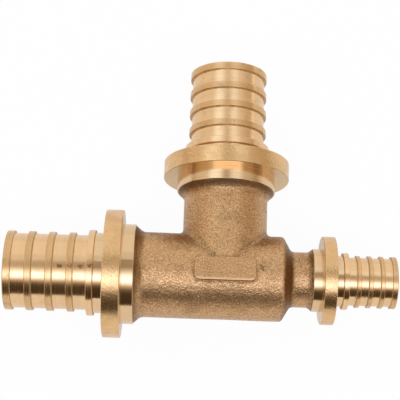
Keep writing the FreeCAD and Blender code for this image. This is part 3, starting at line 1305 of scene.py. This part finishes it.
@dataclass(frozen=True)
class Card:
    """A studio card, curved about one axis of the part so that the brass reflects it evenly.

    Args:
        name: Name of the card.
        about: Axis that it curves about. Angles go from straight up to the front about the
            run, and to the right about the branch.
        low: Where it starts along that axis, in metres.
        high: Where it ends along that axis.
        stops: Angles in degrees, in order, each with the light that the card gives back there.
        distance: Its distance from the axis, in metres.
        step: Degrees from one row of points to the next.
    """

    name: str
    about: Line
    low: float
    high: float
    stops: Sequence[tuple[float, Tone]]
    distance: float = 2.0
    step: float = 3.0

    def build(self, material: bpy.types.Material) -> None:
        """Make the card, unseen by the camera itself.

        Args:
            material: Glow that takes its tone from the card's points.
        """
        angles, tones = zip(*self.stops)
        mesh = bmesh.new()
        layer = mesh.verts.layers.float_color.new(GLOW)
        rows = []
        for angle in np.unique(np.concatenate([np.arange(angles[0], angles[-1], self.step), angles])):
            a = math.radians(angle)
            side, up = self.distance * math.sin(a), self.distance * math.cos(a)
            glow = [float(np.interp(angle, angles, part)) for part in zip(*tones)]
            rows.append([
                mesh.verts.new((t, -side, up) if self.about is Line.RUN else (side, t, up))
                for t in (self.low, self.high)
            ])
            for vert in rows[-1]:
                vert[layer] = (*glow, 1)
        for lower, upper in zip(rows, rows[1:]):
            mesh.faces.new((lower[0], lower[1], upper[1], upper[0]))
        made = new_object(self.name, mesh, (material,))
        made.visible_camera = False
        made.visible_shadow = False


CARDS = (
    Card("overhead", Line.RUN, -1.2, 1.2, (
        (1.0, (0.62, 0.56, 0.48)), (7.0, (0.88, 0.87, 0.87)), (13.0, (1.4, 1.47, 1.65)),
        (22.0, (2.35, 2.6, 3.3)), (30.0, (2.4, 2.65, 3.35)), (36.0, (1.5, 1.58, 1.8)),
        (42.5, (0.65, 0.58, 0.5)), (50.5, (0.18, 0.14, 0.1)), (59.0, (0.08, 0.057, 0.035)),
        (86.0, (0.055, 0.038, 0.02)), (94.0, (0.2, 0.16, 0.12)),
    )),
    Card("gap", Line.RUN, -0.36, 0.4, (
        (-15.5, (0.56, 0.51, 0.43)), (-10.0, (0.41, 0.37, 0.3)), (1.0, (0.45, 0.4, 0.33)),
    )),
    Card("near streaks", Line.BRANCH, 0.45, 0.68, (
        (-44.0, (1.0, 1.0, 1.0)), (-37.0, (1.45, 1.55, 1.65)), (-18.0, (1.55, 1.7, 1.95)),
        (-12.0, (1.05, 1.05, 1.08)), (-6.5, (0.5, 0.44, 0.37)), (-2.5, (0.08, 0.055, 0.035)),
        (1.5, (0.08, 0.055, 0.035)), (5.5, (0.6, 0.54, 0.48)), (10.0, (0.95, 0.93, 0.92)),
        (18.0, (1.12, 1.15, 1.2)), (27.0, (1.25, 1.35, 1.48)), (33.0, (1.0, 1.0, 1.0)),
        (38.0, (0.72, 0.66, 0.58)),
    )),
    Card("far streaks", Line.BRANCH, 0.68, 1.5, (
        (-50.0, (0.98, 1.0, 1.02)), (-40.0, (1.15, 1.25, 1.4)), (-30.0, (1.2, 1.4, 1.65)),
        (-21.0, (1.1, 1.2, 1.35)), (-13.0, (0.9, 0.9, 0.9)), (-3.0, (0.84, 0.82, 0.8)),
        (4.0, (0.95, 0.97, 1.0)), (13.0, (1.12, 1.25, 1.42)), (21.0, (1.1, 1.2, 1.32)),
        (31.0, (0.92, 0.92, 0.92)), (50.0, (0.8, 0.74, 0.68)),
    )),
    Card("near left", Line.BRANCH, -1.0, 0.68, (
        (-106.0, (0.42, 0.35, 0.26)), (-98.0, (0.34, 0.27, 0.18)), (-90.0, (0.3, 0.22, 0.14)),
        (-82.0, (0.42, 0.34, 0.24)), (-74.0, (0.62, 0.53, 0.41)), (-66.0, (0.76, 0.66, 0.54)),
        (-44.0, (0.86, 0.78, 0.68)),
    )),
    Card("far left", Line.BRANCH, 0.68, 3.0, (
        (-98.0, (1.3, 1.27, 1.22)), (-91.0, (0.95, 0.9, 0.83)),
        (-84.0, (1.0, 0.96, 0.9)), (-50.0, (0.92, 0.92, 0.9)),
    )),
    Card("near right", Line.BRANCH, -1.0, 0.68, (
        (38.0, (0.7, 0.62, 0.52)), (54.0, (0.64, 0.55, 0.44)), (61.0, (0.5, 0.4, 0.3)),
        (69.0, (0.33, 0.24, 0.14)), (78.0, (0.34, 0.25, 0.15)), (87.0, (0.55, 0.47, 0.38)),
        (95.0, (0.66, 0.58, 0.5)),
    )),
    Card("far right", Line.BRANCH, 0.68, 3.0, (
        (50.0, (0.8, 0.74, 0.68)), (60.0, (0.73, 0.67, 0.6)), (75.0, (0.7, 0.64, 0.57)),
        (82.0, (1.15, 1.1, 1.03)), (96.0, (1.3, 1.25, 1.18)),
    )),
)


@dataclass(frozen=True)
class Studio:
    """Pale floor, one large soft light from above the front, cards and the camera."""

    floor_level: float = -0.01752
    floor_reach: float = 6.0
    floor_share: float = 0.96
    floor_mirrored: float = 0.5
    paper: float = 0.75
    room: float = 1.0
    key_level: float = 2.9
    key_tilt: float = 28.7
    key_distance: float = 1.6
    key_width: float = 2.3
    key_depth: float = 0.72
    camera_place: tuple[float, float, float] = (-0.011225, -0.082350, 0.340967)
    camera_turn: tuple[float, float, float] = (-0.296775, 0.011276, -0.035414)
    lens: float = 114.87
    sensor: float = 36.0

    def floor(self) -> None:
        """Lay the floor: white to the camera and to the brass, with the tee's shadow kept."""
        mesh = bmesh.new()
        r = self.floor_reach
        corners = ((-r, -r), (r, -r), (r, r), (-r, r))
        mesh.faces.new([mesh.verts.new((x, y, self.floor_level)) for x, y in corners])
        material = bpy.data.materials.new("studio floor")
        sheet = node_sheet(material)
        path = sheet.add("ShaderNodeLightPath").outputs
        mirrored = sheet.math("MAXIMUM", path["Is Glossy Ray"], path["Is Transmission Ray"])
        mirrored = sheet.share(mirrored, self.floor_mirrored, "seen in the brass")
        white = sheet.share(path["Is Camera Ray"], self.floor_share, "rest keeps the shadow")
        white = sheet.math("MAXIMUM", white, mirrored)
        paper = sheet.add("ShaderNodeBsdfDiffuse", feeds={"Color": (*[self.paper] * 3, 1)})
        glow = sheet.add("ShaderNodeEmission")
        feeds = {0: white, 1: paper.outputs[0], 2: glow.outputs[0]}
        sheet.close(sheet.add("ShaderNodeMixShader", feeds=feeds))
        new_object("studio_floor", mesh, (material,))

    def key(self) -> None:
        """Hang the large soft light."""
        data = bpy.data.lights.new("softbox", "AREA")
        data.shape = "RECTANGLE"
        data.size = self.key_width
        data.size_y = self.key_depth
        data.energy = self.key_level * math.pi * self.key_width * self.key_depth
        lamp = bpy.data.objects.new("softbox", data)
        tilt = math.radians(self.key_tilt)
        lamp.location = (0, -self.key_distance * math.sin(tilt), self.key_distance * math.cos(tilt))
        lamp.rotation_euler = (-tilt, 0, 0)
        lamp.visible_camera = False
        lamp.visible_glossy = False
        bpy.context.scene.collection.objects.link(lamp)

    def cards(self) -> None:
        """Stand the light, grey and dark cards that the brass reflects."""
        material = bpy.data.materials.new("studio card")
        sheet = node_sheet(material)
        tone = sheet.add("ShaderNodeAttribute", "shade of the card", attribute_name=GLOW)
        sheet.close(sheet.add("ShaderNodeEmission", feeds={"Color": tone.outputs["Color"]}))
        for card in CARDS:
            card.build(material)

    def surroundings(self) -> None:
        """Give the room one plain pale tone."""
        world = bpy.data.worlds.new("studio")
        bpy.context.scene.world = world
        sheet = node_sheet(world)
        feeds = {"Color": (1, 1, 1, 1), "Strength": self.room}
        sheet.close(sheet.add("ShaderNodeBackground", feeds=feeds), "ShaderNodeOutputWorld")

    def camera(self) -> None:
        """Set up the camera at the portrait's viewpoint."""
        data = bpy.data.cameras.new("portrait")
        data.lens = self.lens
        data.sensor_width = self.sensor
        data.clip_start = 0.01
        data.clip_end = 20.0
        rx, ry, rz = (Matrix.Rotation(angle, 3, axis) for angle, axis in zip(self.camera_turn, "XYZ"))
        made = bpy.data.objects.new("portrait", data)
        made.matrix_world = Matrix.Translation(self.camera_place) @ (rz @ ry @ rx).transposed().to_4x4()
        bpy.context.scene.collection.objects.link(made)
        bpy.context.scene.camera = made

    def build(self) -> None:
        """Set up the whole studio."""
        self.floor()
        self.key()
        self.cards()
        self.surroundings()
        self.camera()
        bpy.context.scene.view_settings.view_transform = "Standard"


LARGE = dict(
    bore=8.5, groove=10.2, rib=10.85, stop_rib=11.75, neck=11.025, flange=17.5, collar=13.65,
    flange_length=4.8, neck_length=2.7, stop_rib_length=1.8, stop_gap=3.65, rib_length=1.85,
    groove_length=3.7, mouth_rib_length=2.1, edge=0.1,
)
SMALL = dict(
    bore=5.1, groove=6.6, rib=7.15, stop_rib=7.8, neck=6.975, flange=12.1, collar=8.6,
    flange_length=3.5, neck_length=2.25, stop_rib_length=1.45, stop_gap=2.2, rib_length=1.15,
    groove_length=2.05, mouth_rib_length=1.5, edge=0.08,
)
ENDS = (
    BarbedEnd("inlet_end", Axis.INLET, reach=32.6, collar_length=3.4, **LARGE),
    BarbedEnd("branch_end", Axis.BRANCH, reach=32.7, collar_length=3.7, burr=0.13, **LARGE),
    BarbedEnd("outlet_end", Axis.OUTLET, reach=30.088, collar_length=2.6, **SMALL),
)


def main() -> None:
    """Dress the tee and set up the studio."""
    logging.basicConfig(level=logging.INFO, format="%(message)s")
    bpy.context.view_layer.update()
    materials = brass_finishes()
    tree = rib_tree()
    pieces = CastBody("cast_body").build(materials)
    pieces += [end.build(tree, materials) for end in ENDS]
    for piece in pieces:
        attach(piece, "root")
        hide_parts("tee_body")
    Studio().build()


if __name__ == "__main__":
    main()
